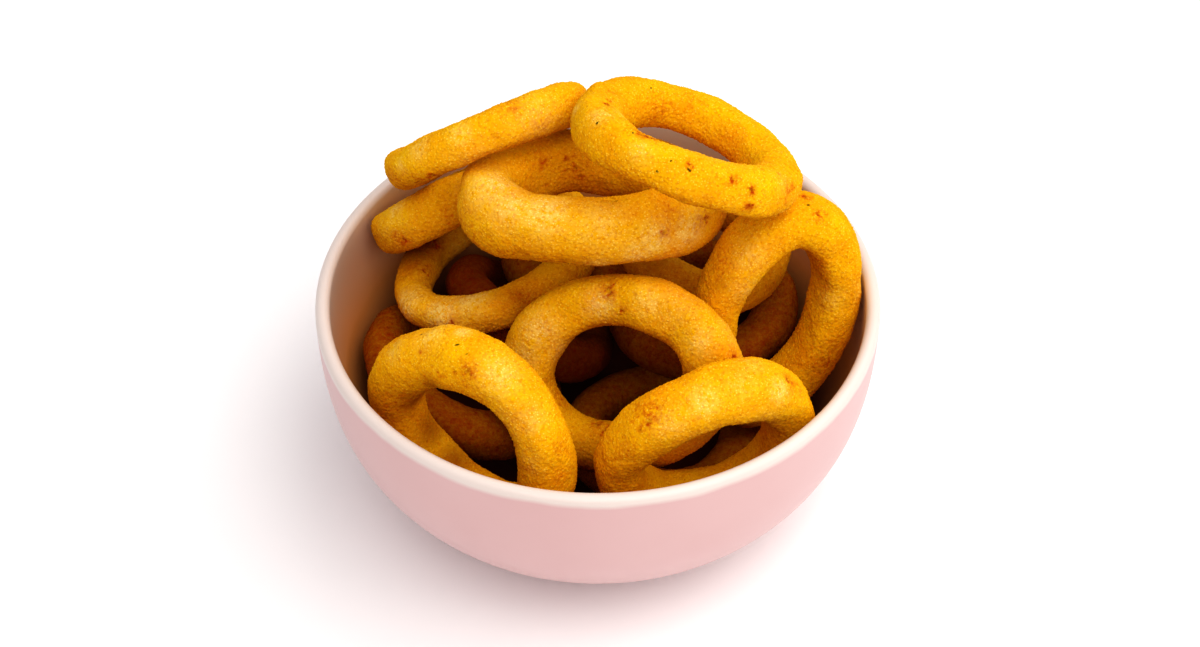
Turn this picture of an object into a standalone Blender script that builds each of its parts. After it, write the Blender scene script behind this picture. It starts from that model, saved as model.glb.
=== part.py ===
"""A glazed bowl heaped with crumbed, fried onion rings.

Metres, +Z up. The origin is the middle of the bowl's foot, on the table,
with +X to the right and -Y to the front. Each ring is a closed tube that
is bent, flattened and swollen a little, as a sliced onion ring in batter is.
"""
import math

import bmesh
import bpy
from mathutils import Quaternion, Vector

# Bowl: a turned wall that curves in to a low foot ring
RIM_RADIUS = 0.0775
RIM_HEIGHT = 0.066
WALL = 0.004
OUTER_DROP = 0.072
INNER_DROP = 0.067
FLOOR_HEIGHT = 0.006
FOOT_OUTER = 0.0365
FOOT_INNER = 0.0315
FOOT_RECESS = 0.0015
FOOT_ROUND = 0.0006
BOWL_SIDES = 64
OUTER_STEPS = 8
INNER_STEPS = 6
LIP_STEPS = 4

# Ring: the tube's unevenness, as shares of its width or of the hoop's size
HOOP_WOBBLE = 0.02
SLOW_SWELL = 0.06
QUICK_SWELL = 0.03
LUMPS = 0.022
FRONT_SIDES = 36
FRONT_FACETS = 12
DEEP_SIDES = 28
DEEP_FACETS = 10

# Colours, linear, from the lit crust, the crust deep in the heap and the glaze
GOLD = (0.80, 0.36, 0.035)
BROWN = (0.33, 0.10, 0.012)
PINK = (0.78, 0.55, 0.53)
DEEP_BELOW = 0.045
LIT_ABOVE = 0.075


def ring(name, at, lean, toward, turn, across, thick, tall, **more):
    """One ring's place and size.

    at is the hoop's centre. Its axis leans from the vertical by lean degrees
    toward the compass direction toward (0 is +X, 90 is +Y), after a turn
    about that axis. across holds the long and the short way across the
    hoop's centreline. thick is the tube's width in the hoop's plane and
    tall its width along the axis. bend lifts two opposite sides of the
    hoop, boxy squares the tube's section and uneven moves the swellings
    round the hoop, in degrees.
    """
    sizes = {"bend": 0.001, "boxy": 2.4, "uneven": 0, "deep": False}
    sizes.update(more)
    sizes.update(name=name, at=at, lean=lean, toward=toward, turn=turn)
    sizes.update(across=across, thick=thick, tall=tall)
    return sizes


RINGS = [
    # The two rings on top, and the thick pinched one under them
    ring("ring_top_right", (0.023, 0.0078, 0.11), 26.5, 44.4, -12.9,
         (0.05, 0.05), 0.0129, 0.0129, bend=-0.001),
    ring("ring_top_left", (-0.0302, 0.0332, 0.093), 43.2, 122.4, 12.8,
         (0.049, 0.0485), 0.012, 0.0115, bend=-0.0005, uneven=120),
    ring("ring_centre_high", (-0.002, 0.0104, 0.0896), 8.9, 64.6, 6.8,
         (0.0565, 0.0345), 0.0165, 0.019, bend=-0.001, boxy=2.6, uneven=30),
    # The left side, where a small ring rests on a long one
    ring("ring_left_upper", (-0.0389, 0.0358, 0.0671), 44.1, 126.9, -79.9,
         (0.024, 0.043), 0.0132, 0.0132, bend=0.0005, uneven=60),
    ring("ring_left_middle", (-0.029, 0.0282, 0.0514), 16.6, 157.5, 49.9,
         (0.055, 0.0475), 0.0108, 0.0108, uneven=180),
    # The rings that stand on edge at the front and the right
    ring("ring_centre_arch", (0.0055, -0.0221, 0.0545), 62.2, -113.2, 2.2,
         (0.0545, 0.0412), 0.0152, 0.0136, uneven=20),
    ring("ring_front_left", (-0.033, -0.0437, 0.0542), 86.8, -124.8, -65.8,
         (0.0502, 0.0496), 0.0152, 0.0152, uneven=60),
    ring("ring_front_right", (0.0285, -0.0473, 0.053), 84, 107, -2,
         (0.0475, 0.0455), 0.0135, 0.0153, boxy=2.8, uneven=120),
    ring("ring_right", (0.048, -0.0033, 0.0596), 80.2, -70.5, 3.4,
         (0.036, 0.058), 0.0132, 0.0165, boxy=2.8, uneven=200),
    # The rings seen through the others' holes, down to the bowl's floor
    ring("ring_right_behind", (0.0303, 0.0252, 0.0587), 9, -32.5, -1,
         (0.038, 0.036), 0.013, 0.013, uneven=240, deep=True),
    ring("ring_back", (-0.0015, 0.0402, 0.0422), 11.5, 133.4, -3.3,
         (0.0415, 0.038), 0.013, 0.0135, uneven=45, deep=True),
    ring("ring_low_right", (0.0308, 0.0262, 0.0329), 8, 168.2, 4.6,
         (0.044, 0.043), 0.0126, 0.013, uneven=90, deep=True),
    ring("ring_low_back", (-0.0202, 0.0251, 0.0303), 38.8, 37.1, 16.4,
         (0.043, 0.0415), 0.0128, 0.0135, uneven=210, deep=True),
    ring("ring_low_left", (-0.0389, 0.0039, 0.0276), 25.1, 22.8, 2.8,
         (0.048, 0.05), 0.013, 0.013, uneven=150, deep=True),
    ring("ring_bottom_right", (0.0187, -0.009, 0.0159), 3.5, 83.3, 19.9,
         (0.046, 0.044), 0.013, 0.0135, uneven=300, deep=True),
]


def clear_scene():
    for old in list(bpy.data.objects):
        bpy.data.objects.remove(old, do_unlink=True)


def plain_material(name, colour, roughness):
    material = bpy.data.materials.new(name)
    material.use_nodes = True
    shader = material.node_tree.nodes["Principled BSDF"]
    shader.inputs["Base Color"].default_value = (*colour, 1.0)
    shader.inputs["Roughness"].default_value = roughness
    shader.inputs["Metallic"].default_value = 0.0
    return material


def add_object(name, mesh_data, material):
    mesh = bpy.data.meshes.new(name)
    mesh_data.to_mesh(mesh)
    mesh_data.free()
    mesh.materials.append(material)
    mesh.shade_smooth()
    placed = bpy.data.objects.new(name, mesh)
    bpy.context.scene.collection.objects.link(placed)
    return placed


def wall_radius(radius, drop, height):
    """The wall's radius: upright at the rim, ever faster in to the foot."""
    share = (RIM_HEIGHT - height) / drop
    return radius * math.sqrt(1.0 - share ** 3)


def eased_heights(low, high, steps):
    """Heights from low to high, closer together near low."""
    return [low + (high - low) * (step / steps) ** 1.5 for step in range(steps + 1)]


def bowl_profile():
    """Half the bowl's section as (radius, height), from the foot round to the floor."""
    lip = WALL / 2
    lip_height = RIM_HEIGHT - lip
    points = [(0.0, FOOT_RECESS), (FOOT_INNER - FOOT_RECESS, FOOT_RECESS)]
    points += [(FOOT_INNER, 0.0), (FOOT_OUTER, 0.0)]
    for height in eased_heights(FOOT_ROUND, lip_height, OUTER_STEPS):
        points.append((wall_radius(RIM_RADIUS, OUTER_DROP, height), height))
    middle = RIM_RADIUS - lip
    for step in range(1, LIP_STEPS):
        angle = math.pi * step / LIP_STEPS
        points.append((middle + lip * math.cos(angle), lip_height + lip * math.sin(angle)))
    for height in reversed(eased_heights(FLOOR_HEIGHT, lip_height, INNER_STEPS)):
        points.append((wall_radius(RIM_RADIUS - WALL, INNER_DROP, height), height))
    points.append((0.0, FLOOR_HEIGHT))
    return points


def build_bowl():
    bm = bmesh.new()
    corners = [bm.verts.new((radius, 0.0, height)) for radius, height in bowl_profile()]
    for first, second in zip(corners, corners[1:]):
        bm.edges.new((first, second))
    bmesh.ops.spin(bm, geom=bm.verts[:] + bm.edges[:], axis=(0, 0, 1), cent=(0, 0, 0),
                   dvec=(0, 0, 0), angle=2 * math.pi, steps=BOWL_SIDES, use_merge=True)
    bmesh.ops.remove_doubles(bm, verts=bm.verts[:], dist=1e-6)
    bmesh.ops.recalc_face_normals(bm, faces=bm.faces[:])
    bowl = add_object("bowl", bm, plain_material("bowl_glaze", PINK, 0.35))
    bowl.data.set_sharp_from_angle(angle=math.radians(50))
    return bowl


def hoop_point(sizes, angle):
    """A point of the hoop's centreline, in the ring's own axes."""
    phase = math.radians(sizes["uneven"])
    wobble = 1.0 + HOOP_WOBBLE * math.cos(3 * angle + phase)
    along = sizes["across"][0] / 2 * math.cos(angle) * wobble
    aside = sizes["across"][1] / 2 * math.sin(angle) * wobble
    return Vector((along, aside, sizes["bend"] * math.cos(2 * angle)))


def rounded(value, boxy):
    """A sine or cosine pushed toward a squarer section."""
    return math.copysign(abs(value) ** (2.0 / boxy), value)


def tube_swell(sizes, angle, around):
    """How much wider or thinner the tube is at one point of its skin."""
    phase = math.radians(sizes["uneven"])
    slow = SLOW_SWELL * math.cos(2 * angle + phase)
    quick = QUICK_SWELL * math.cos(5 * angle + 2 * phase)
    lumps = LUMPS * math.cos(7 * angle + 2 * around + 3 * phase)
    return 1.0 + slow + quick + lumps


def tube_section(sizes, angle, facets):
    """The points of the tube's skin round the centreline at one angle."""
    centre = hoop_point(sizes, angle)
    step = 0.01
    ahead = (hoop_point(sizes, angle + step) - hoop_point(sizes, angle - step)).normalized()
    up = Vector((0, 0, 1))
    up = (up - ahead * up.dot(ahead)).normalized()
    out = ahead.cross(up)
    points = []
    for number in range(facets):
        around = 2 * math.pi * number / facets
        swell = tube_swell(sizes, angle, around)
        sideways = sizes["thick"] / 2 * swell * rounded(math.cos(around), sizes["boxy"])
        upright = sizes["tall"] / 2 * swell * rounded(math.sin(around), sizes["boxy"])
        points.append(centre + out * sideways + up * upright)
    return points


def crust_colour(height):
    """Gold at the top of the heap, browner lower down."""
    share = (height - DEEP_BELOW) / (LIT_ABOVE - DEEP_BELOW)
    share = min(max(share, 0.0), 1.0)
    return tuple(dark + (light - dark) * share for dark, light in zip(BROWN, GOLD))


def build_ring(sizes):
    sides = DEEP_SIDES if sizes["deep"] else FRONT_SIDES
    facets = DEEP_FACETS if sizes["deep"] else FRONT_FACETS
    bm = bmesh.new()
    sections = []
    for side in range(sides):
        points = tube_section(sizes, 2 * math.pi * side / sides, facets)
        sections.append([bm.verts.new(point) for point in points])
    for near, far in zip(sections, sections[1:] + sections[:1]):
        for number in range(facets):
            following = (number + 1) % facets
            bm.faces.new((near[number], far[number], far[following], near[following]))
    bmesh.ops.recalc_face_normals(bm, faces=bm.faces[:])
    crust = plain_material(sizes["name"] + "_crust", crust_colour(sizes["at"][2]), 0.8)
    placed = add_object(sizes["name"], bm, crust)
    compass = math.radians(sizes["toward"])
    hinge = Vector((-math.sin(compass), math.cos(compass), 0))
    lean = Quaternion(hinge, math.radians(sizes["lean"]))
    turn = Quaternion((0, 0, 1), math.radians(sizes["turn"]))
    placed.rotation_mode = "QUATERNION"
    placed.rotation_quaternion = lean @ turn
    placed.location = sizes["at"]
    return placed


clear_scene()
build_bowl()
for ring_sizes in RINGS:
    build_ring(ring_sizes)
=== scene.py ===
import math
import random

import bpy
import numpy as np
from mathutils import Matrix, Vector


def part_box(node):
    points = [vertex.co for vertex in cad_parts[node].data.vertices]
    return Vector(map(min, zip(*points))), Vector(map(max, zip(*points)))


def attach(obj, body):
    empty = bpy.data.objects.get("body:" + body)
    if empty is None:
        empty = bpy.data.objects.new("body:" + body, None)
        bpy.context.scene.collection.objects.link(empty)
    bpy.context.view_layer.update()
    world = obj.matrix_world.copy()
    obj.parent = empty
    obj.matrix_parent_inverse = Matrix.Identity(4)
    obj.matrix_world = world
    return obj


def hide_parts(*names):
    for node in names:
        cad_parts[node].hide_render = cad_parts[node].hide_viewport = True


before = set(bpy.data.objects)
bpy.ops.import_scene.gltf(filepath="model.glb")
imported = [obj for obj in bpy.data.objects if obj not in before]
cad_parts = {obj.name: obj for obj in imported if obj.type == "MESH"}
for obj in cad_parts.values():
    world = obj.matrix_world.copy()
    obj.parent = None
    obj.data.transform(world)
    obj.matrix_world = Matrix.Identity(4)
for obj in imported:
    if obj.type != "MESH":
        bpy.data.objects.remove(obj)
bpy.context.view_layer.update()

# Camera
# It looks down into the bowl from the front, as the picture does. The bowl's rim
# is a known ellipse there, which gives the camera's height, distance and lens.
PHOTO_WIDTH, PHOTO_HEIGHT = 1200, 647
FOCAL_PIXELS = 2185
CAMERA_PLACE = Vector((0.0, -0.4348, 0.4795))
CAMERA_DOWN = math.radians(44.506)
CAMERA_YAW = math.radians(-0.0734)

eye = bpy.data.cameras.new("picture_camera")
eye.sensor_fit = "HORIZONTAL"
eye.sensor_width = 36.0
eye.lens = FOCAL_PIXELS / PHOTO_WIDTH * eye.sensor_width
camera = bpy.data.objects.new("picture_camera", eye)
camera.location = CAMERA_PLACE
camera.rotation_euler = (math.pi / 2 - CAMERA_DOWN, 0.0, CAMERA_YAW)
bpy.context.scene.collection.objects.link(camera)
bpy.context.scene.camera = camera


def sight_line(across, down):
    """The direction from the camera through a pixel of the photo."""
    turned = camera.rotation_euler.to_matrix()
    aside = (across - PHOTO_WIDTH / 2) / FOCAL_PIXELS
    above = (PHOTO_HEIGHT / 2 - down) / FOCAL_PIXELS
    return (turned @ Vector((aside, above, -1.0))).normalized()


# Table
# A plain matt white top under the bowl. It is not part of the object, and only
# catches the bowl's soft shadow and sends light back up at the glaze.
TABLE_SIZE = 6.0
# The table lies a hair below the foot, so that the two faces aren't in one place
TABLE_GAP = 0.0004


def linear(code):
    """An sRGB hex colour as linear red, green, blue and alpha."""
    parts = [int(code[place:place + 2], 16) / 255 for place in (1, 3, 5)]
    light = [((part + 0.055) / 1.055) ** 2.4 if part > 0.04045 else part / 12.92 for part in parts]
    return (*light, 1.0)


def add_node(tree, kind, inputs=None, **settings):
    """One shader node, with its settings, and each input set to a value or linked."""
    node = tree.nodes.new(kind)
    for name, value in settings.items():
        setattr(node, name, value)
    for name, value in (inputs or {}).items():
        socket = node.inputs[name]
        if isinstance(value, bpy.types.NodeSocket):
            tree.links.new(value, socket)
        else:
            socket.default_value = value
    return node


def new_material(name):
    """An empty material, its node tree and its Principled shader."""
    material = bpy.data.materials.new(name)
    material.use_nodes = True
    return material, material.node_tree, material.node_tree.nodes["Principled BSDF"]


def pick_only(piece):
    """Leaves one object selected and active."""
    bpy.ops.object.select_all(action="DESELECT")
    piece.select_set(True)
    bpy.context.view_layer.objects.active = piece


bpy.ops.object.select_all(action="DESELECT")
bpy.ops.mesh.primitive_plane_add(size=TABLE_SIZE, location=(0, 0, -TABLE_GAP))
table = bpy.context.active_object
table.name = "table_top"
# Matt white paint: no gloss, so the light falls off softly round the bowl
table_paint, tree, shader = new_material("matt_white_paint")
shader.inputs["Base Color"].default_value = linear("#fcfcfd")
shader.inputs["Roughness"].default_value = 0.9
shader.inputs["Specular IOR Level"].default_value = 0.1
table.data.materials.append(table_paint)

# Bowl
# Thrown stoneware, dipped in a satin pink glaze outside and a cream one inside.
# The cream runs over the rounded lip and meets the pink a few millimetres below it.
MM = 0.001
RIM_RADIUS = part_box("bowl")[1][0]
RIM_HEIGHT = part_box("bowl")[1][2]
WALL = 4.0 * MM
OUTER_DROP = RIM_HEIGHT + 6 * MM
INNER_DROP = RIM_HEIGHT + 1 * MM
FLOOR_HEIGHT = 6 * MM
FOOT_OUTER = 36.5 * MM
FOOT_INNER = 31.5 * MM
FOOT_RECESS = 1.5 * MM
BOWL_SIDES = 160
OUTER_STEPS = 30
INNER_STEPS = 24
LIP_STEPS = 12
SHARP_FROM = math.radians(40)
# Millimetres round the section from the lip's top, less than 0 outside: where the pink gives way to
# the cream, where painted warm light from the rings tints the cream, and where painted shade darkens
# it
GLAZES_MEET = (-3.6, -2.0)
PAINTED_BOUNCE_DEPTHS = (3.0, 30.0)
PAINTED_SHADE_DEPTHS = (28.0, 50.0)
GLAZE_WAVER = 1.6


def wall_radius(radius, drop, height):
    """The wall's radius: upright at the rim, ever faster in to the foot."""
    share = (RIM_HEIGHT - height) / drop
    return radius * math.sqrt(1.0 - share ** 3)


def eased_heights(low, high, steps):
    """Heights from low to high, closer together near low."""
    return [low + (high - low) * (step / steps) ** 1.5 for step in range(steps + 1)]


def bowl_section():
    """Half the bowl's section as (radius, height), from the foot round to the floor."""
    lip = WALL / 2
    lip_height = RIM_HEIGHT - lip
    # The foot ring, its edges rounded off by about half a millimetre
    points = [(FOOT_INNER - 1.2 * MM, FOOT_RECESS), (FOOT_INNER, 0.4 * MM)]
    points += [(FOOT_INNER + 0.5 * MM, 0.0), (FOOT_OUTER - 0.5 * MM, 0.0), (FOOT_OUTER, 0.2 * MM)]
    for height in eased_heights(0.8 * MM, lip_height, OUTER_STEPS):
        points.append((wall_radius(RIM_RADIUS, OUTER_DROP, height), height))
    for step in range(1, LIP_STEPS):
        angle = math.pi * step / LIP_STEPS
        points.append((RIM_RADIUS - lip + lip * math.cos(angle), lip_height + lip * math.sin(angle)))
    for height in reversed(eased_heights(FLOOR_HEIGHT, lip_height, INNER_STEPS)):
        points.append((wall_radius(RIM_RADIUS - WALL, INNER_DROP, height), height))
    return points


section = bowl_section()
bpy.ops.object.select_all(action="DESELECT")
bpy.ops.mesh.primitive_circle_add(vertices=BOWL_SIDES, radius=section[0][0], fill_type="NGON",
                                  location=(0, 0, section[0][1]))
bowl = bpy.context.active_object
bowl.name = "glazed_bowl"
bpy.ops.object.transform_apply(location=True, rotation=True, scale=True)
bpy.ops.object.mode_set(mode="EDIT")
bpy.ops.mesh.select_all(action="SELECT")
for (radius, height), (next_radius, next_height) in zip(section, section[1:]):
    rise = (0, 0, next_height - height)
    bpy.ops.mesh.extrude_region_move(TRANSFORM_OT_translate={"value": rise})
    widen = next_radius / radius
    bpy.ops.transform.resize(value=(widen, widen, 1.0), center_override=(0, 0, next_height))
bpy.ops.mesh.select_all(action="SELECT")
bpy.ops.mesh.normals_make_consistent(inside=False)
bpy.ops.object.mode_set(mode="OBJECT")
bpy.ops.object.shade_smooth_by_angle(angle=SHARP_FROM)

# How far each point lies round the section from the lip's top, in millimetres, so
# that the glazes can meet along the lip
lengths = [0.0]
for (radius, height), (next_radius, next_height) in zip(section, section[1:]):
    lengths.append(lengths[-1] + math.hypot(next_radius - radius, next_height - height) / MM)
lip_top = max(range(len(section)), key=lambda number: section[number][1])
section_length = bowl.data.attributes.new("section_length", "FLOAT", "POINT")
for vertex in bowl.data.vertices:
    place = (math.hypot(vertex.co.x, vertex.co.y), vertex.co.z)
    nearest = min(range(len(section)), key=lambda number: math.dist(section[number], place))
    section_length.data[vertex.index].value = lengths[nearest] - lengths[lip_top]

# Satin stoneware glaze: an even skin of coloured glass, soft in its shine and a little cloudy. Down
# inside, the cream is painted warmer in place of the orange light the rings throw on it, and darker
# lower still with painted shade.
glaze, tree, shader = new_material("satin_stoneware_glaze")
coords = add_node(tree, "ShaderNodeTexCoord")
round_section = add_node(tree, "ShaderNodeAttribute", attribute_name="section_length")
waver = add_node(tree, "ShaderNodeTexNoise", {
    "Vector": coords.outputs["Object"], "Scale": 1 / (14 * MM), "Detail": 2.0})
wavy = add_node(tree, "ShaderNodeMath", {
    0: waver.outputs["Fac"], 1: GLAZE_WAVER, 2: round_section.outputs["Fac"]},
    operation="MULTIPLY_ADD")
over_lip = add_node(tree, "ShaderNodeMapRange", {
    "Value": wavy.outputs["Value"], "From Min": GLAZES_MEET[0], "From Max": GLAZES_MEET[1]})
cloudy = add_node(tree, "ShaderNodeTexNoise", {
    "Vector": coords.outputs["Object"], "Scale": 1 / (30 * MM), "Detail": 3.0})
pink = add_node(tree, "ShaderNodeMix", {
    "Factor": cloudy.outputs["Fac"], "A": linear("#d6b0af"), "B": linear("#ddbbba")},
    data_type="RGBA")
cream = add_node(tree, "ShaderNodeMix", {
    "Factor": cloudy.outputs["Fac"], "A": linear("#e0d2cb"), "B": linear("#e6dad4")},
    data_type="RGBA")
# Painted warm light: the cream is tinted orange down inside, in place of the light bounced from the
# rings
bounce_share = add_node(tree, "ShaderNodeMapRange", {
    "Value": wavy.outputs["Value"], "From Min": PAINTED_BOUNCE_DEPTHS[0], "From Max": PAINTED_BOUNCE_DEPTHS[1]})
painted_bounce_tint = add_node(tree, "ShaderNodeMix", {
    "Factor": bounce_share.outputs["Result"], "A": cream.outputs["Result"], "B": linear("#f0b26c")},
    data_type="RGBA")
# Painted shade darkens the bottom of the bowl, and loose crumb takes its shine away
bowl_shade_share = add_node(tree, "ShaderNodeMapRange", {
    "Value": wavy.outputs["Value"], "From Min": PAINTED_SHADE_DEPTHS[0], "From Max": PAINTED_SHADE_DEPTHS[1]})
bowl_painted_shade = add_node(tree, "ShaderNodeMix", {
    "Factor": bowl_shade_share.outputs["Result"], "A": painted_bounce_tint.outputs["Result"], "B": linear("#5c2408")},
    data_type="RGBA")
dipped = add_node(tree, "ShaderNodeMix", {
    "Factor": over_lip.outputs["Result"], "A": pink.outputs["Result"],
    "B": bowl_painted_shade.outputs["Result"]}, data_type="RGBA")
tree.links.new(dipped.outputs["Result"], shader.inputs["Base Color"])
dulled = add_node(tree, "ShaderNodeMapRange", {
    "Value": bowl_shade_share.outputs["Result"], "To Min": 0.34, "To Max": 1.0})
tree.links.new(dulled.outputs["Result"], shader.inputs["Roughness"])
shader.inputs["IOR"].default_value = 1.5
ripple = add_node(tree, "ShaderNodeTexNoise", {
    "Vector": coords.outputs["Object"], "Scale": 1 / (6 * MM), "Detail": 2.0})
dimple = add_node(tree, "ShaderNodeBump", {
    "Height": ripple.outputs["Fac"], "Strength": 0.06, "Distance": 0.3 * MM})
tree.links.new(dimple.outputs["Normal"], shader.inputs["Normal"])
bowl.data.materials.append(glaze)
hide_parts("bowl")
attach(bowl, "root")

# Crust of the rings
# Sliced onion dipped in batter, rolled in fine breadcrumb and fried. The batter
# sets in soft lumps, the crumb stands up as grain, and oil browns it in spots.
DRIFT_SIZE = 11 * MM
STREAK_SIZE = 1.6 * MM
GRAIN_SIZE = 0.6 * MM
LIT_CREST = 0.8
THIN_CREST = 1.1
GRAIN_BULGE = -1.2

# Fried breadcrumb: dry and matt, each grain a slightly different gold, paler where the batter shows
# through and brown where it fried longest, with painted shade in the same orange and brown. The
# marks hold where: red is pale, blue toasted and orange painted shade, green scorched and brown
# painted shade, and alpha herb.
crust, tree, shader = new_material("fried_breadcrumb")
coords = add_node(tree, "ShaderNodeTexCoord")
marks = add_node(tree, "ShaderNodeAttribute", attribute_name="crust_marks")
mark = add_node(tree, "ShaderNodeSeparateColor", {"Color": marks.outputs["Color"]})
slow = add_node(tree, "ShaderNodeTexNoise", {
    "Vector": coords.outputs["Object"], "Scale": 1 / DRIFT_SIZE, "Detail": 3.0, "Roughness": 0.55})
fine = add_node(tree, "ShaderNodeTexNoise", {
    "Vector": coords.outputs["Object"], "Scale": 1 / STREAK_SIZE, "Detail": 4.0, "Roughness": 0.7})
grain = add_node(tree, "ShaderNodeTexVoronoi", {
    "Vector": coords.outputs["Object"], "Scale": 1 / GRAIN_SIZE})
each_grain = add_node(tree, "ShaderNodeSeparateColor", {"Color": grain.outputs["Color"]})
drift = add_node(tree, "ShaderNodeMapRange", {
    "Value": slow.outputs["Fac"], "From Min": 0.3, "From Max": 0.7})
gold = add_node(tree, "ShaderNodeMix", {
    "Factor": drift.outputs["Result"], "A": linear("#f2ae02"), "B": linear("#f7c606")},
    data_type="RGBA")
# The valleys between the raised crumbs are painted more orange, a painted shade, and some grains are
# lighter on top, partly pale crumb and partly a painted highlight
tip = add_node(tree, "ShaderNodeAttribute", attribute_name="crumb_height")
valley_shade = add_node(tree, "ShaderNodeMapRange", {
    "Value": tip.outputs["Fac"], "From Min": 0.3, "From Max": 0.6, "To Min": 0.22, "To Max": 0.0})
valley_shaded = add_node(tree, "ShaderNodeMix", {
    "Factor": valley_shade.outputs["Result"], "A": gold.outputs["Result"], "B": linear("#cf7a04")},
    data_type="RGBA")
dome_top = add_node(tree, "ShaderNodeMapRange", {
    "Value": grain.outputs["Distance"], "From Min": 0.5, "From Max": 0.15})
chosen = add_node(tree, "ShaderNodeMapRange", {
    "Value": each_grain.outputs["Blue"], "From Min": 0.35, "From Max": 0.85})
crest = add_node(tree, "ShaderNodeMath", {
    0: dome_top.outputs["Result"], 1: chosen.outputs["Result"]}, operation="MULTIPLY")
lit_crest = add_node(tree, "ShaderNodeMath", {
    0: crest.outputs["Value"], 1: LIT_CREST}, operation="MULTIPLY")
crest_highlighted = add_node(tree, "ShaderNodeMix", {
    "Factor": lit_crest.outputs["Value"], "A": valley_shaded.outputs["Result"], "B": linear("#ffd850")},
    data_type="RGBA")
# Pale batter shows through where the coat is thin, in grains and streaks
patchy = add_node(tree, "ShaderNodeMapRange", {
    "Value": fine.outputs["Fac"], "From Min": 0.36, "From Max": 0.56, "To Max": 0.75})
grainy = add_node(tree, "ShaderNodeMath", {
    0: crest.outputs["Value"], 1: THIN_CREST, 2: patchy.outputs["Result"]},
    operation="MULTIPLY_ADD")
thin = add_node(tree, "ShaderNodeMath", {
    0: mark.outputs["Red"], 1: grainy.outputs["Value"]}, operation="MULTIPLY", use_clamp=True)
thinned = add_node(tree, "ShaderNodeMix", {
    "Factor": thin.outputs["Value"], "A": crest_highlighted.outputs["Result"], "B": linear("#ffe38e")},
    data_type="RGBA")
grain_pale = add_node(tree, "ShaderNodeMapRange", {
    "Value": each_grain.outputs["Red"], "From Min": 0.5, "From Max": 1.0, "To Max": 0.22})
paled = add_node(tree, "ShaderNodeMix", {
    "Factor": grain_pale.outputs["Result"], "A": thinned.outputs["Result"], "B": linear("#fdc83c")},
    data_type="RGBA")
# Toasting: orange in small blotches where it is marked, and in single grains. Painted shade is
# marked in the same orange.
toast_noise = add_node(tree, "ShaderNodeMapRange", {
    "Value": fine.outputs["Fac"], "From Min": 0.38, "From Max": 0.7, "To Max": 1.2})
toast_grain = add_node(tree, "ShaderNodeMapRange", {
    "Value": each_grain.outputs["Green"], "From Min": 0.7, "From Max": 1.0, "To Max": 0.3})
toast_and_shade = add_node(tree, "ShaderNodeMath", {
    0: toast_noise.outputs["Result"], 1: mark.outputs["Blue"], 2: toast_grain.outputs["Result"]},
    operation="MULTIPLY_ADD", use_clamp=True)
toasted_and_shaded = add_node(tree, "ShaderNodeMix", {
    "Factor": toast_and_shade.outputs["Value"], "A": paled.outputs["Result"], "B": linear("#be5004")},
    data_type="RGBA")
# Scorched brown where it is marked, with painted shade marked in the same brown
scorched_and_shaded = add_node(tree, "ShaderNodeMix", {
    "Factor": mark.outputs["Green"], "A": toasted_and_shaded.outputs["Result"], "B": linear("#7c2c06")},
    data_type="RGBA")
herbed = add_node(tree, "ShaderNodeMix", {
    "Factor": marks.outputs["Alpha"], "A": scorched_and_shaded.outputs["Result"], "B": linear("#2c3408")},
    data_type="RGBA")
tree.links.new(herbed.outputs["Result"], shader.inputs["Base Color"])
shader.inputs["Roughness"].default_value = 0.75
shader.inputs["Specular IOR Level"].default_value = 0.06
relief = add_node(tree, "ShaderNodeMath", {
    0: grain.outputs["Distance"], 1: GRAIN_BULGE, 2: fine.outputs["Fac"]},
    operation="MULTIPLY_ADD")
crumbed = add_node(tree, "ShaderNodeBump", {
    "Height": relief.outputs["Value"], "Strength": 0.32, "Distance": 0.22 * MM})
tree.links.new(crumbed.outputs["Normal"], shader.inputs["Normal"])


def crumb_texture(name, kind, size, **settings):
    """A displacement pattern with grains of one real size."""
    texture = bpy.data.textures.new(name, kind)
    texture.noise_scale = size
    for setting, value in settings.items():
        setattr(texture, setting, value)
    return texture


batter_lumps = crumb_texture("batter_lumps", "CLOUDS", 9 * MM, noise_depth=1)
crumb_clumps = crumb_texture("crumb_clumps", "CLOUDS", 1.5 * MM, noise_depth=1)
crumb_grains = crumb_texture("crumb_grains", "VORONOI", 0.66 * MM, use_color_ramp=True)
# Each cell of the pattern is one dome of crumb on the smooth batter
dome_slope = crumb_grains.color_ramp.elements
dome_slope[0].color = (1.0, 1.0, 1.0, 1.0)
dome_slope[1].color = (0.0, 0.0, 0.0, 1.0)
dome_slope[1].position = 0.62
# Each coat's pattern, its depth and the part of the pattern that stays level
COATS = ((batter_lumps, 1.1 * MM, 0.5), (crumb_clumps, 0.16 * MM, 0.5),
         (crumb_grains, 0.34 * MM, 0.45))
# The solids lie a gap apart, so the batter is this much thicker than they are
PLUMP = 0.26 * MM
ROUNDING_LEVELS = 2
SETTLE_STEPS = 3


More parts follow.
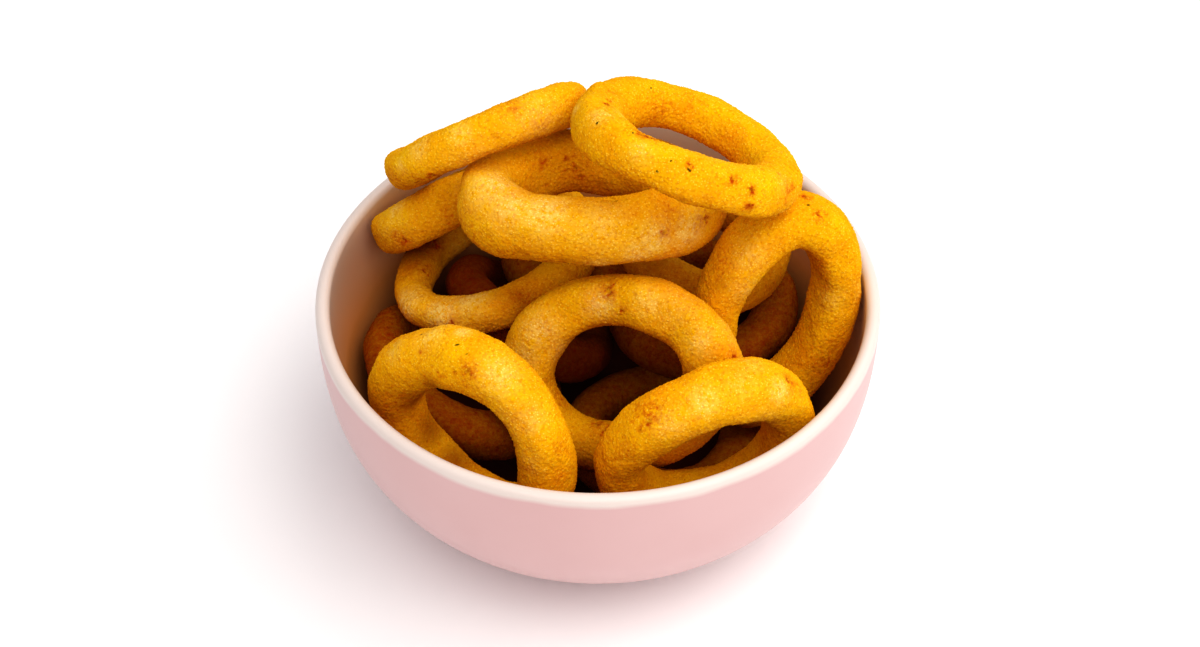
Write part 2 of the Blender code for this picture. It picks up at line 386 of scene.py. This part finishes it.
def coat_ring(node_name, piece_name, spacing):
    """A ring's solid, rounded, dipped and crumbed: real relief at the crumb's own size.

    spacing is the distance between the points of its skin.
    """
    ring = bpy.data.objects.new(piece_name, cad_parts[node_name].data.copy())
    bpy.context.scene.collection.objects.link(ring)
    ring.data.materials.clear()
    ring.data.materials.append(crust)
    pick_only(ring)
    bpy.ops.object.mode_set(mode="EDIT")
    bpy.ops.mesh.select_all(action="SELECT")
    bpy.ops.mesh.remove_doubles(threshold=0.01 * MM)
    bpy.ops.mesh.tris_convert_to_quads()
    bpy.ops.object.mode_set(mode="OBJECT")
    rounding = ring.modifiers.new("rounding", "SUBSURF")
    rounding.levels = rounding.render_levels = ROUNDING_LEVELS
    batter = ring.modifiers.new("batter", "REMESH")
    batter.mode = "VOXEL"
    batter.voxel_size = spacing
    batter.use_smooth_shade = True
    settle = ring.modifiers.new("settle", "SMOOTH")
    settle.iterations = SETTLE_STEPS
    plump = ring.modifiers.new("plump", "DISPLACE")
    plump.mid_level = 0.0
    plump.strength = PLUMP
    for texture, depth, level_part in COATS:
        coat = ring.modifiers.new(texture.name, "DISPLACE")
        coat.texture = texture
        coat.texture_coords = "LOCAL"
        coat.strength = depth
        coat.mid_level = level_part
    for modifier in list(ring.modifiers):
        if modifier.name == crumb_grains.name:
            under_crumb = [vertex.co.copy() for vertex in ring.data.vertices]
        bpy.ops.object.modifier_apply(modifier=modifier.name)
    # How high each point of the skin stands on its grain of crumb
    height = ring.data.attributes.new("crumb_height", "FLOAT", "POINT")
    for number, place in enumerate(under_crumb):
        height.data[number].value = crumb_grains.evaluate(place)[0]
    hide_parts(node_name)
    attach(ring, "root")
    return ring


# The channels of the marks
PALE, SCORCH_AND_SHADE, TOAST_AND_SHADE, HERB = range(4)
# Painted shade: the side that faces away from the window lamp's light is painted browner and more
# orange
TOWARD_WINDOW_LAMP = np.array([0.42, 0.1, 0.9])
SHADE_SIDE_BROWN = 0.3
SHADE_SIDE_ORANGE = 0.9
# How far a pit spreads past its size, its hollow and rim as shares of that, its
# browning, and the waves that make its edge ragged
PIT_SPREAD = 1.3
PIT_SINK = 0.24
PIT_RISE = 0.06
PIT_SCORCH = 0.42
PIT_TOAST = 1.2
PIT_RAGGED = 0.03
PIT_WAVES = (np.array([3100.0, 1700.0, 2300.0]), np.array([-1900.0, 4300.0, 2900.0]))
HERB_WIDTH = 0.24
# Patches and pits at random: how many, and their least and most
STRAY_PATCHES = 5
STRAY_PATCH_SIZE = (3.0, 8.0)
STRAY_PATCH_AMOUNT = (0.15, 0.4)
STRAY_PITS = 5
STRAY_PIT_SIZE = (0.4, 0.9)
STRAY_PIT_DEPTH = (0.2, 0.5)


def spots_seen(ring, pixels):
    """Where a ring's skin is met by the sight lines through pixels of the photo."""
    places = []
    for across, down in pixels:
        hit, place, _, _ = ring.ray_cast(CAMERA_PLACE, sight_line(across, down))
        if hit:
            places.append(np.array(place))
    return places


def paint_patch(colours, channel, points, place, size, amount):
    """A soft round patch in one channel of a ring's marks."""
    away = np.linalg.norm(points - place, axis=1) / size
    colours[:, channel] = np.maximum(colours[:, channel], amount * np.exp(-away ** 2))


def sink_pit(points, normals, colours, place, size, depth):
    """A burst bubble: a ragged hollow with a low rim, browned inside and orange round it."""
    offset = points - place
    ragged = np.sin(offset @ PIT_WAVES[0] + size * 7)
    ragged += np.sin(offset @ PIT_WAVES[1] + size * 3)
    away = np.linalg.norm(offset, axis=1) / (size * MM) * (1 + PIT_RAGGED * ragged)
    sunk = depth * np.exp(-away ** 2 * 1.4)
    raised = depth * np.exp(-(away - 1.5) ** 2 * 5)
    points -= normals * ((sunk * PIT_SINK - raised * PIT_RISE) * size * MM * (away < 3))[:, None]
    browned = np.clip(sunk * PIT_SCORCH, 0, PIT_SCORCH)
    colours[:, SCORCH_AND_SHADE] = np.maximum(colours[:, SCORCH_AND_SHADE], browned)
    orange = PIT_TOAST * depth * np.exp(-(away / 2.0) ** 2)
    colours[:, TOAST_AND_SHADE] = np.maximum(colours[:, TOAST_AND_SHADE], orange)


def lay_herb(points, colours, place, length, tilt):
    """A narrow flake of dried herb, lying on the crumb at a tilt to the level."""
    offset = (points - place) / MM
    lie = np.array([math.cos(tilt), 0.4 * math.sin(tilt), math.sin(tilt)])
    along = offset @ (lie / np.linalg.norm(lie))
    beside = np.sqrt(np.maximum((offset ** 2).sum(axis=1) - along ** 2, 0.0))
    flake = 1.3 - np.hypot(along / (length / 2), beside / HERB_WIDTH)
    colours[:, HERB] = np.maximum(colours[:, HERB], np.clip(flake * 2, 0, 1))


def mark_crust(ring, least_shade_orange=0.0, least_shade_brown=0.0, pale=(), orange=(), shade_patches=(), pits=(), herbs=(),
               swells=()):
    """Paints a ring's pale, orange and scorched places and its herbs, and sinks its pits.

    The two numbers after the ring are painted shade: the least orange and the least brown all over
    it. Its side facing away from the window lamp is painted with shade as well. pale and orange hold
    patches as (across, down, size, amount), and so does the third list, whose patches are painted
    shade; pits hold (across, down, size), herbs (across, down, length, tilt) and swells (across,
    down, size, height), with across and down in the photo's pixels and sizes in millimetres. A swell
    is a place where the batter set thicker, or thinner where its height is negative.
    """
    count = len(ring.data.vertices)
    points = np.empty(count * 3)
    ring.data.vertices.foreach_get("co", points)
    points = points.reshape(-1, 3)
    normals = np.empty(count * 3)
    ring.data.vertices.foreach_get("normal", normals)
    normals = normals.reshape(-1, 3)
    chance = random.Random(ring.name)
    colours = np.zeros((count, 4))
    # Painted shade on the side facing away from the window lamp, and all over where the ring is
    # given shade amounts
    shade_side = np.clip(0.0 - normals @ TOWARD_WINDOW_LAMP, 0.0, 1.0)
    colours[:, SCORCH_AND_SHADE] = np.maximum(least_shade_brown, SHADE_SIDE_BROWN * shade_side)
    colours[:, TOAST_AND_SHADE] = np.maximum(least_shade_orange, SHADE_SIDE_ORANGE * shade_side)
    for channel, patches in ((PALE, pale), (SCORCH_AND_SHADE, shade_patches), (TOAST_AND_SHADE, orange)):
        for across, down, size, amount in patches:
            for place in spots_seen(ring, [(across, down)]):
                paint_patch(colours, channel, points, place, size * MM, amount)
    # The same kinds of patches at random, fainter, so that no side is left bare
    for channel in (PALE, TOAST_AND_SHADE):
        for _ in range(STRAY_PATCHES):
            place = points[chance.randrange(count)]
            size = chance.uniform(*STRAY_PATCH_SIZE) * MM
            amount = chance.uniform(*STRAY_PATCH_AMOUNT)
            paint_patch(colours, channel, points, place, size, amount)
    for across, down, size, height in swells:
        for place in spots_seen(ring, [(across, down)]):
            away = np.linalg.norm(points - place, axis=1) / (size * MM)
            points += normals * (height * MM * np.exp(-away ** 2))[:, None]
    holes = [(place, size * PIT_SPREAD, 1.0) for across, down, size in pits
             for place in spots_seen(ring, [(across, down)])]
    for _ in range(STRAY_PITS):
        place = points[chance.randrange(count)]
        size = chance.uniform(*STRAY_PIT_SIZE)
        holes.append((place, size, chance.uniform(*STRAY_PIT_DEPTH)))
    for place, size, depth in holes:
        sink_pit(points, normals, colours, place, size, depth)
    for across, down, length, tilt in herbs:
        for place in spots_seen(ring, [(across, down)]):
            lay_herb(points, colours, place, length, tilt)
    ring.data.vertices.foreach_set("co", points.ravel())
    layer = ring.data.attributes.new("crust_marks", "FLOAT_COLOR", "POINT")
    layer.data.foreach_set("color", colours.ravel())
    ring.data.update()


# Rings on top of the heap
# Two rings lean on each other over a thick, pinched one. They catch the most light,
# so every grain of their crumb shows, and pits where the batter bubbled as it fried.
FINE_SKIN = 0.31 * MM
# A thick ring has more skin to cover, so its points are a little further apart
THICK_SKIN = 0.345 * MM
top_right = coat_ring("ring_top_right", "top_right_ring", FINE_SKIN)
mark_crust(
    top_right,
    pale=[(600, 115, 3, 0.5), (640, 152, 3, 0.4), (575, 110, 2, 0.5)],
    orange=[(610, 100, 2, 0.7), (660, 110, 4, 0.6), (735, 178, 2, 0.7), (750, 190, 2.5, 0.6),
            (790, 190, 3, 0.7), (705, 202, 2, 0.5), (750, 208, 2, 0.6), (690, 100, 4, 0.4)],
    pits=[(641, 134, 0.8), (646, 136, 1.0), (651, 138, 0.8), (733, 179, 0.7), (751, 190, 0.6),
          (752, 191, 0.6), (749, 207, 0.8), (608, 105, 0.6), (690, 164, 0.5)],
    herbs=[(597, 123, 1.6, 0.2), (633, 133, 0.7, 1.0), (657, 171, 0.9, 2.4),
           (689, 170, 1.5, 2.3), (651, 88, 0.8, 0.5), (671, 161, 0.6, 0.6)],
    swells=[(598, 84, 2.5, 0.5), (628, 82, 2.5, 0.5), (574, 104, 3, 0.5), (615, 92, 2.5, -0.4),
            (585, 94, 2.5, -0.4), (660, 140, 4, 0.4), (760, 170, 4, 0.5), (800, 180, 4, 0.4)])
top_left = coat_ring("ring_top_left", "top_left_ring", FINE_SKIN)
mark_crust(
    top_left,
    pale=[(418, 148, 3, 0.6), (460, 134, 3, 0.6), (400, 165, 2, 0.4)],
    orange=[(512, 106, 3, 0.9), (420, 180, 3, 0.9), (450, 178, 3, 0.5), (540, 125, 4, 0.5)],
    pits=[(433, 176, 1.0), (438, 176, 0.8), (418, 182, 0.6)])
centre_high = coat_ring("ring_centre_high", "centre_high_ring", THICK_SKIN)
mark_crust(
    centre_high,
    pale=[(495, 185, 7, 0.8), (545, 212, 6, 0.9), (535, 262, 3, 1.0), (510, 205, 6, 0.7),
          (655, 240, 5, 0.9), (690, 232, 5, 1.0), (640, 252, 5, 0.7), (600, 225, 7, 0.4),
          (600, 265, 4, 0.5), (505, 262, 3, 0.5)],
    orange=[(544, 162, 3, 0.8), (570, 165, 4, 0.8), (700, 222, 3, 0.7), (560, 195, 2, 0.4),
            (672, 212, 4, 0.5), (530, 245, 3, 0.3)],
    pits=[(706, 219, 0.7), (664, 233, 0.6), (576, 168, 0.6), (580, 176, 0.5), (566, 160, 0.5)],
    herbs=[(571, 132, 0.9, 0.4)],
    swells=[(480, 178, 4, 0.7), (500, 172, 3, 0.5), (610, 196, 5, -1.4), (586, 195, 4, -0.7),
            (655, 197, 3.5, 0.9), (540, 200, 4, 0.4), (690, 215, 4, 0.4), (500, 255, 4, 0.4),
            (565, 260, 4, -0.4)])

# Rings on the left
# A small ring rests on a long thin one, both in the top rings' shade. The long one's
# coat is thin, so pale batter shows through it in streaks.
left_upper = coat_ring("ring_left_upper", "left_upper_ring", FINE_SKIN)
mark_crust(
    left_upper,
    pale=[(395, 210, 3, 0.6), (470, 190, 3, 0.5)],
    orange=[(400, 238, 3, 0.9), (375, 230, 3, 0.5), (450, 215, 5, 0.5)],
    pits=[(404, 240, 0.8), (385, 210, 0.4)])
left_middle = coat_ring("ring_left_middle", "left_middle_ring", FINE_SKIN)
mark_crust(
    left_middle,
    # Its pale patches are partly pale batter and partly painted light, as this ring lies in the top
    # rings' shade
    pale=[(405, 305, 5, 0.9), (440, 315, 5, 1.0), (500, 280, 4, 0.8), (470, 300, 5, 0.8)],
    orange=[(420, 265, 5, 0.6), (520, 300, 6, 0.6), (452, 322, 2, 0.7)],
    # Painted shade in its darkest hollows
    shade_patches=[(420, 243, 8, 0.9), (440, 258, 4, 0.5), (520, 300, 4, 0.4)],
    pits=[(436, 245, 0.9), (425, 272, 0.6), (452, 322, 0.4)],
    swells=[(410, 305, 5, 0.5), (440, 322, 4, 0.5), (480, 312, 4, 0.4)])

# Rings that stand on edge
# Four thick rings, fried like the others, lean on the bowl's wall and on the rings behind with their
# holes toward the front. Low down and inside the holes they are darker with painted shade.
centre_arch = coat_ring("ring_centre_arch", "centre_arch_ring", THICK_SKIN)
mark_crust(
    centre_arch,
    pale=[(540, 330, 5, 0.7), (600, 305, 4, 0.8), (650, 302, 4, 0.6), (560, 350, 4, 0.5),
          (525, 355, 4, 0.5), (700, 340, 4, 0.5)],
    orange=[(608, 290, 2.5, 0.9), (622, 310, 2, 0.7), (560, 400, 4, 0.6), (733, 357, 3, 0.8),
            (585, 300, 3, 0.4), (600, 425, 4, 0.9)],
    # Painted shade in its darkest hollows
    shade_patches=[(585, 470, 6, 0.9), (615, 450, 4, 0.5), (690, 380, 4, 0.5)],
    pits=[(607, 288, 0.9), (610, 293, 0.7), (622, 311, 0.5), (734, 358, 0.7), (598, 424, 0.9),
          (606, 430, 1.1), (611, 436, 0.7)],
    swells=[(530, 345, 4, 0.6), (570, 300, 4, 0.4), (640, 292, 4, 0.4), (695, 320, 4, 0.4),
            (605, 288, 3, -0.4)])
front_left = coat_ring("ring_front_left", "front_left_ring", THICK_SKIN)
mark_crust(
    front_left,
    pale=[(430, 335, 4, 0.5), (463, 332, 2, 0.9), (500, 375, 5, 0.6), (530, 420, 4, 0.4),
          (395, 350, 3, 0.4)],
    orange=[(400, 400, 6, 0.7), (468, 372, 3, 0.8), (385, 440, 4, 0.5), (440, 378, 4, 0.5),
            (560, 450, 3, 0.5)],
    # Painted shade in its darkest hollows
    shade_patches=[(432, 385, 4, 0.6), (415, 400, 5, 0.5), (430, 430, 5, 0.6), (455, 460, 5, 0.6)],
    pits=[(467, 371, 0.8), (470, 375, 0.5), (455, 372, 0.4)],
    herbs=[(457, 345, 1.3, 0.3), (467, 354, 0.6, 1.0), (421, 334, 0.8, 0.2)],
    swells=[(400, 345, 4, 0.6), (445, 330, 4, 0.4), (425, 330, 3, -0.4), (480, 350, 4, 0.4),
            (510, 395, 4, 0.4), (540, 440, 4, 0.4)])
front_right = coat_ring("ring_front_right", "front_right_ring", THICK_SKIN)
mark_crust(
    front_right,
    pale=[(704, 402, 4, 0.6), (780, 392, 3, 0.8), (742, 384, 4, 0.3), (670, 425, 4, 0.4)],
    orange=[(648, 415, 5, 0.8), (790, 382, 3, 0.8), (625, 450, 4, 0.6), (720, 375, 3, 0.4)],
    pits=[(787, 380, 0.7), (795, 369, 0.6), (797, 372, 0.5), (648, 422, 0.7), (640, 430, 0.4)],
    swells=[(775, 375, 4, 0.5), (800, 395, 4, 0.6), (700, 380, 4, 0.4), (650, 400, 4, 0.5),
            (740, 372, 3, -0.3)])
right = coat_ring("ring_right", "right_ring", THICK_SKIN)
mark_crust(
    right,
    pale=[(745, 290, 4, 0.4), (830, 300, 4, 0.3)],
    orange=[(820, 215, 3, 0.8), (720, 260, 5, 0.5), (825, 360, 5, 0.7), (750, 270, 3, 0.4)],
    # Painted shade in its darkest hollows
    shade_patches=[(786, 302, 3, 0.4), (783, 260, 3, 0.3), (722, 285, 3, 0.3)],
    pits=[(806, 197, 0.6), (818, 214, 0.5)],
    herbs=[(808, 205, 1.7, 0.2)])

# Rings deep in the bowl
# More of the same rings fill the bowl to its floor. They show only through the others' holes, and
# are painted darker all over with painted shade, as they lie deep among the others.
DEEP_SKIN = 0.5 * MM
for node_name, deep_shade in (("ring_right_behind", 0.25), ("ring_back", 0.6),
                            ("ring_low_right", 0.7), ("ring_low_back", 0.85),
                            ("ring_low_left", 0.7), ("ring_bottom_right", 0.6)):
    deep = coat_ring(node_name, node_name.removeprefix("ring_") + "_ring", DEEP_SKIN)
    mark_crust(deep, least_shade_orange=deep_shade, least_shade_brown=deep_shade)

# Light
# A large soft window lamp high on the right, a smaller one high in front, and pale
# walls all round.
ROOM_LIGHT = 0.45
LAMP_WHITE = "#fffaf4"
HEAP_MIDDLE = Vector((0, 0, 0.06))
room = bpy.data.worlds.new("pale_room")
bpy.context.scene.world = room
room.use_nodes = True
walls = room.node_tree.nodes["Background"]
walls.inputs["Color"].default_value = linear("#f7f6f8")
walls.inputs["Strength"].default_value = ROOM_LIGHT


def add_lamp(name, place, size, power):
    """A square soft lamp aimed at the heap, its size in metres and its power in watts."""
    lamp = bpy.data.lights.new(name, "AREA")
    lamp.shape = "SQUARE"
    lamp.size = size
    lamp.energy = power
    lamp.color = linear(LAMP_WHITE)[:3]
    stand = bpy.data.objects.new(name, lamp)
    stand.location = place
    stand.rotation_euler = (HEAP_MIDDLE - Vector(place)).to_track_quat("-Z", "Y").to_euler()
    bpy.context.scene.collection.objects.link(stand)


add_lamp("window_lamp", (0.52, 0.08, 0.80), 1.20, 4.9)
add_lamp("front_lamp", (0.06, -0.55, 0.85), 0.90, 3.2)
bpy.context.scene.view_settings.view_transform = "Standard"
bpy.context.scene.view_settings.look = "High Contrast"
